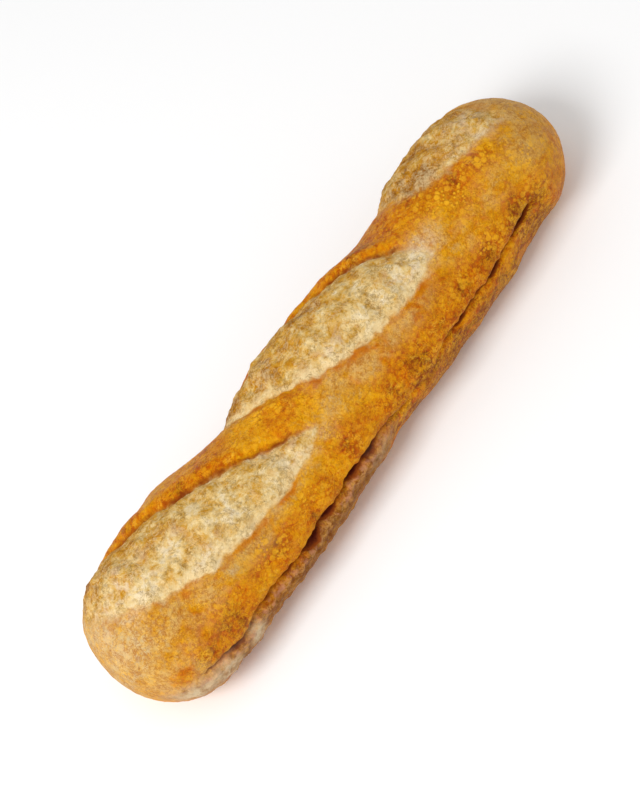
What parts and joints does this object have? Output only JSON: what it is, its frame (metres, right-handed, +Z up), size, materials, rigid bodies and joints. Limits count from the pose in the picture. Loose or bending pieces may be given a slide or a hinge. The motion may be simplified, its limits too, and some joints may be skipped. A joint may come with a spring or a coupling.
{
  "type": "baguette",
  "caption": "Short, straight crusty loaf with round ends, slanting slashes opened across its domed top, a ragged split low along one side and a flat base to rest on.",
  "frame": {"origin": "on the table, under the middle of the loaf's bounding box", "axes": "+X along the loaf from its fuller end to its slimmer end, +Z up out of the slashed top, so the split side faces -Y"},
  "size_m": [0.26, 0.0666, 0.0516],
  "materials": {
    "crust": "matt golden-brown baked crust, paler in the opened slashes and at the ends, darker along the edges and the split"
  },
  "bodies": {
    "root": {"loaf": "crust"}
  },
  "joints": []
}
